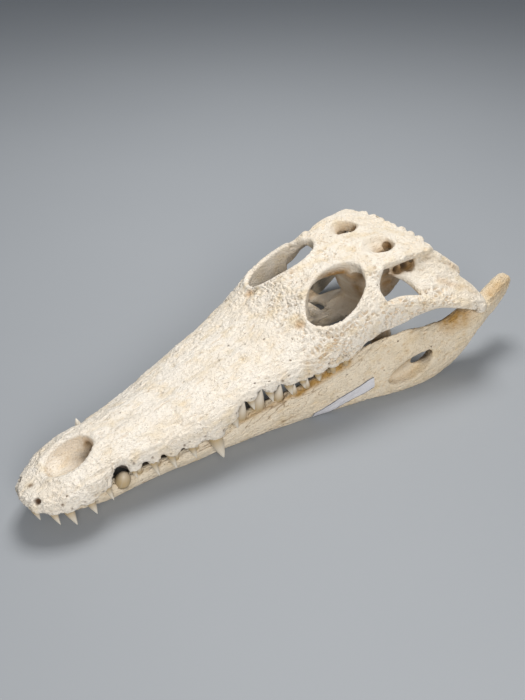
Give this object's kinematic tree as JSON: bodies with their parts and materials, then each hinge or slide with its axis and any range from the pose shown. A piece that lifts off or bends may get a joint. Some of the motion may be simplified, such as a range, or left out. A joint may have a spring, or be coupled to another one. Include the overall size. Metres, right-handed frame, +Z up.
{
  "type": "crocodile skull",
  "caption": "Dried skull of a young slender-snouted crocodile with its lower jaw shut, lying on the lower edges of the jaw, with upper and lower teeth and a small blank paper label.",
  "frame": {"origin": "on the floor under the middle of the skull: halfway along its length, on the joint line between the two jaw halves, at the level of the jaw's lower edges", "axes": "-Y towards the tip of the snout, +Y towards the rear ends of the jaw, +X towards the animal's left side, +Z up"},
  "size_m": [0.225, 0.523, 0.1327],
  "materials": {
    "cranium_bone": "dry cream-white bone, matt, pitted",
    "jaw_bone": "dry beige bone, matt, finely grained",
    "label_paper": "thin grey-white paper, matt, blank"
  },
  "bodies": {
    "root": {"cranium": "cranium_bone", "jaw_left": "jaw_bone", "jaw_right": "jaw_bone", "label": "label_paper"}
  },
  "joints": []
}
